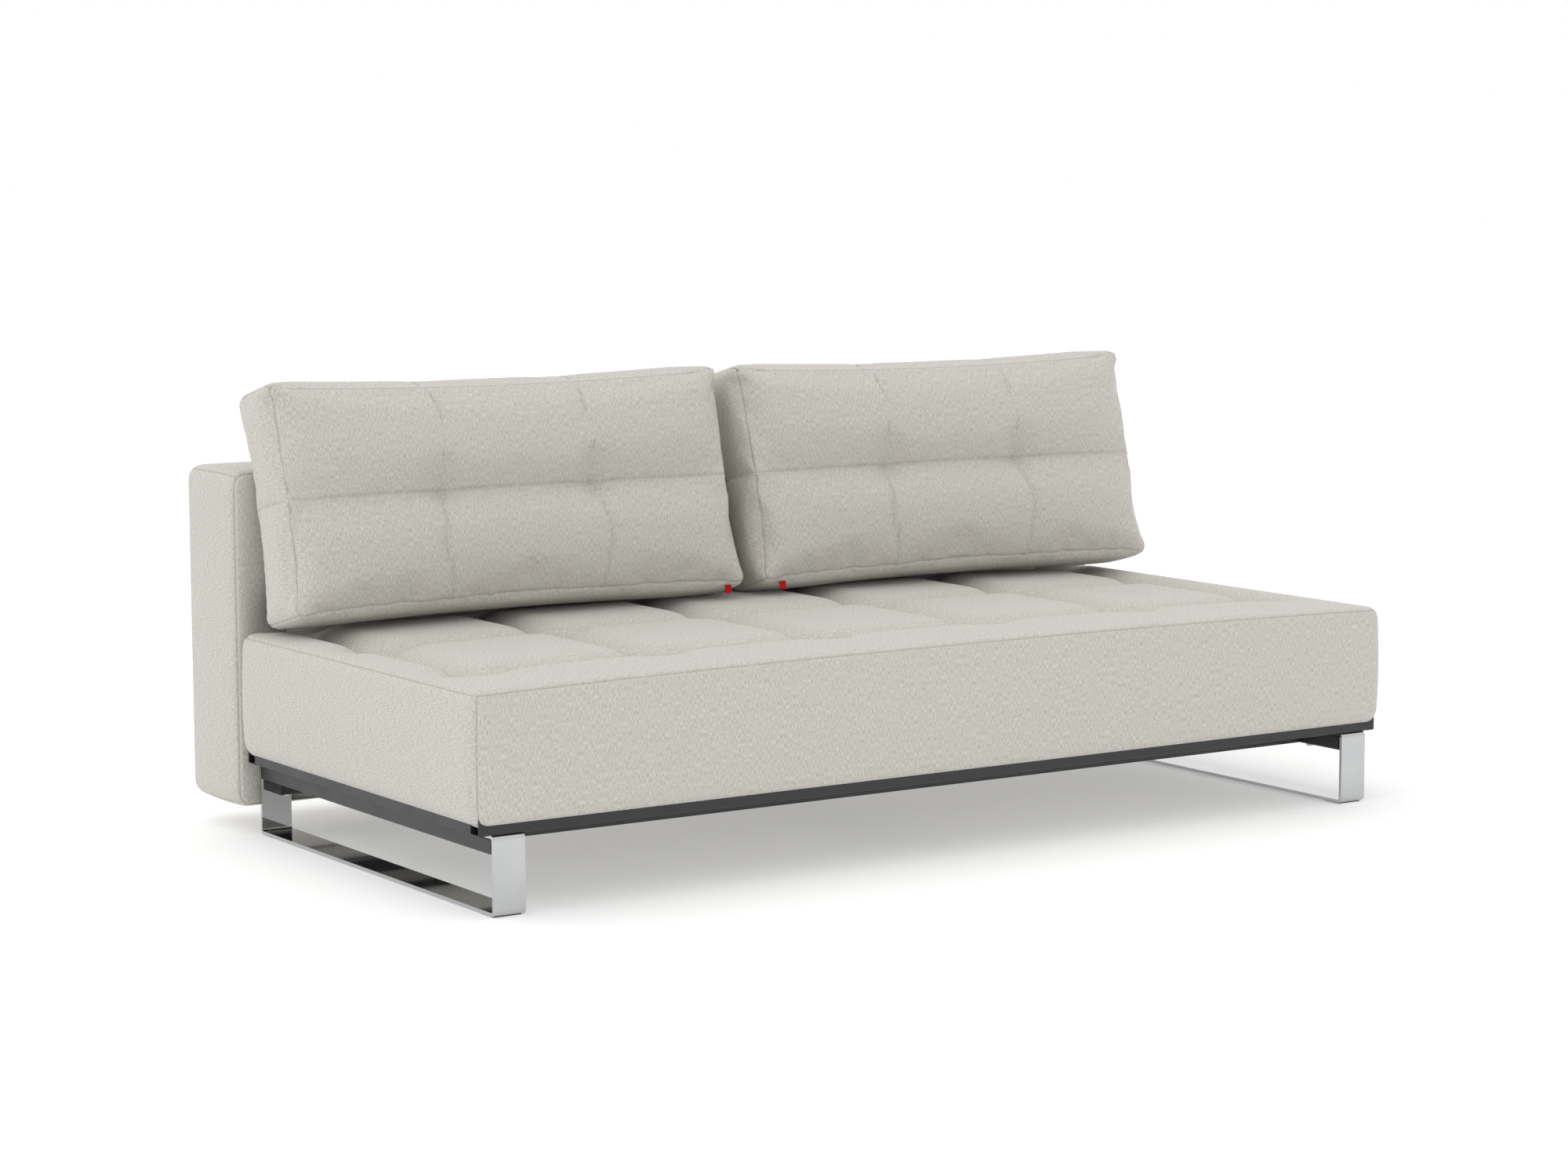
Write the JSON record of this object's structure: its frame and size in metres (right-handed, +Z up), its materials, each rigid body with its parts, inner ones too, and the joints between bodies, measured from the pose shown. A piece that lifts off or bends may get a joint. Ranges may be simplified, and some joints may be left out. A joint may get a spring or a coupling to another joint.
{
  "type": "click clack sofa bed",
  "caption": "Armless sofa bed with a quilted grey seat and fold-flat back on flat-bar chrome sleds, with loose tufted back cushions and a fold-out rear support leg.",
  "frame": {"origin": "on the floor, under the middle of the whole sofa's bounding box", "axes": "+X to the sitter's left along the long side, +Y from the front edge to the back, +Z up"},
  "size_m": [2, 1.152, 0.8434],
  "materials": {
    "upholstery": "fine plain weave with a light slub",
    "red_fabric": "matte woven tape",
    "lining": "matte non-woven",
    "foam": "open-cell foam",
    "cushion_fill": "soft fibre filling",
    "chrome": "polished",
    "black_steel": "satin black powder coat",
    "zinc_steel": "satin",
    "beech": "plain laminated",
    "black_plastic": "fine matte",
    "black_rubber": "matte"
  },
  "bodies": {
    "seat": {"left_sled": "chrome", "right_sled": "chrome", "sled_glides": "black_plastic", "left_side_rail": "black_steel", "right_side_rail": "black_steel", "front_rail": "black_steel", "middle_rail": "black_steel", "rear_tube": "black_steel", "rear_tube_caps": "black_plastic", "frame_bolts": "zinc_steel", "seat_frame_front": "black_steel", "seat_frame_rear": "black_steel", "seat_frame_ends": "black_steel", "seat_frame_bearers": "black_steel", "seat_slats": "beech", "slat_holders": "black_plastic", "seat_lining": "lining", "seat_foam": "foam", "seat_cover": "upholstery", "pivot_brackets": "black_steel", "seat_pins": "zinc_steel"},
    "lift_arms": {"left_lift_arm": "black_steel", "right_lift_arm": "black_steel"},
    "back": {"hinge_brackets": "black_steel", "hinge_pins": "zinc_steel", "back_frame": "black_steel", "back_springs": "zinc_steel", "back_foam": "foam", "back_cover": "upholstery", "leg_brackets": "black_steel", "leg_pins": "zinc_steel", "leg_bolts": "zinc_steel", "pawl_springs": "zinc_steel"},
    "left_pawl": {"left_pawl": "zinc_steel"},
    "right_pawl": {"right_pawl": "zinc_steel"},
    "support_leg": {"support_leg": "black_steel", "support_leg_feet": "black_rubber"},
    "left_cushion": {"left_cushion_cover": "upholstery", "left_cushion_insert": "cushion_fill", "left_cushion_tab": "red_fabric"},
    "right_cushion": {"right_cushion_cover": "upholstery", "right_cushion_insert": "cushion_fill", "right_cushion_tab": "red_fabric"}
  },
  "joints": [
    {"name": "arm_lift", "type": "hinge", "parent": "seat", "child": "lift_arms", "pos_m": [0, 0.348, 0.094], "axis": [1, 0, 0], "range_deg": [0, 88]},
    {"name": "back_fold", "type": "hinge", "parent": "lift_arms", "child": "back", "pos_m": [0, 0.48889, 0.07395], "axis": [1, 0, 0], "range_deg": [-178, 0]},
    {"name": "left_pawl_swing", "type": "hinge", "parent": "back", "child": "left_pawl", "pos_m": [-0.83, 0.51289, 0.12095], "axis": [1, 0, 0], "range_deg": [-3, 0], "stiffness_Nm_per_rad": 0.05},
    {"name": "right_pawl_swing", "type": "hinge", "parent": "back", "child": "right_pawl", "pos_m": [0.83, 0.51289, 0.12095], "axis": [1, 0, 0], "range_deg": [-3, 0], "stiffness_Nm_per_rad": 0.05},
    {"name": "leg_swing", "type": "hinge", "parent": "back", "child": "support_leg", "pos_m": [0, 0.57, 0.587], "axis": [1, 0, 0], "range_deg": [0, 90]},
    {"name": "left_cushion_lift", "type": "slide", "parent": "seat", "child": "left_cushion", "axis": [0, 0, 1], "range_m": [0, 0.25]},
    {"name": "right_cushion_lift", "type": "slide", "parent": "seat", "child": "right_cushion", "axis": [0, 0, 1], "range_m": [0, 0.25]}
  ],
  "couplings": [
    {"joint": "arm_lift", "follows": "back_fold", "ratio": -0.49438}
  ]
}
